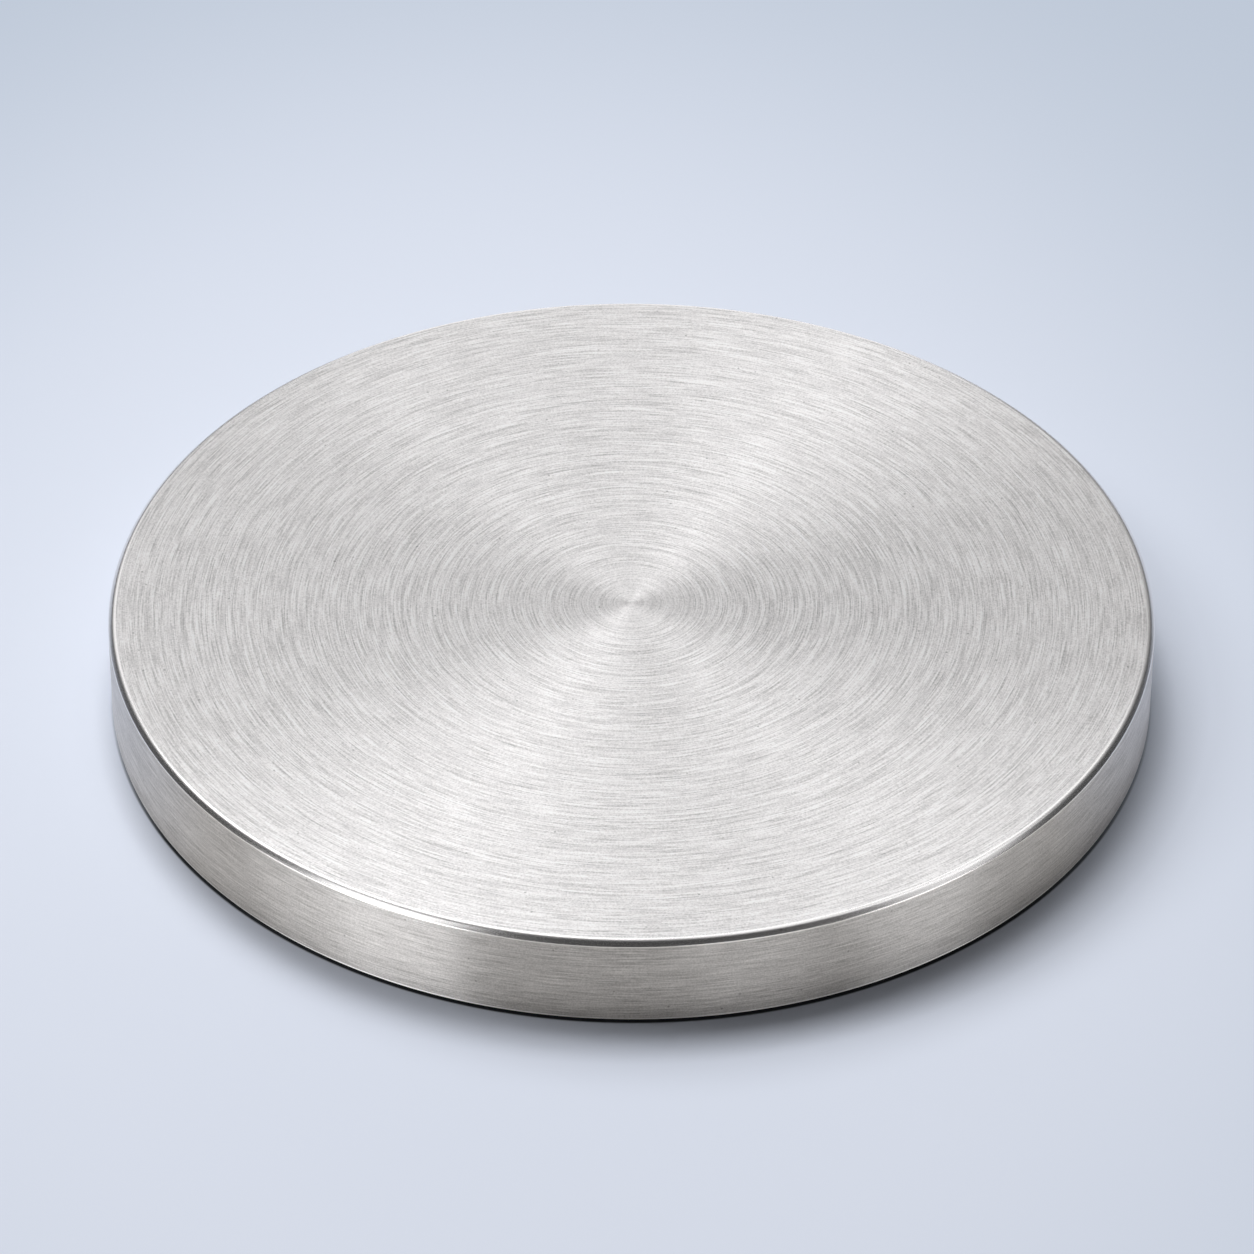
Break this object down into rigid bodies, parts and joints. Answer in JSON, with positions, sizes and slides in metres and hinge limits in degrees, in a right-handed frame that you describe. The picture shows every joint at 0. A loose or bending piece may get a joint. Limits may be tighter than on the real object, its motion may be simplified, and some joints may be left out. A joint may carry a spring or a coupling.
{
  "type": "sputtering target",
  "caption": "Flat round metal disc with a lathe-faced front and chamfered rim, clamped in a magnetron cathode as the source material for sputtered thin films.",
  "frame": {"origin": "centre of the back face, the flat side that seats on the cathode", "axes": "+Z along the disc's axis, out of the sputter face; X and Y lie in the back face and are interchangeable"},
  "size_m": [0.1016, 0.1016, 0.0095],
  "materials": {
    "turned_aluminium": "fine-turned: concentric lathe lines on the sputter face, circumferential lines round the rim, bright cut chamfers"
  },
  "bodies": {
    "root": {"target_disc": "turned_aluminium"}
  },
  "joints": []
}
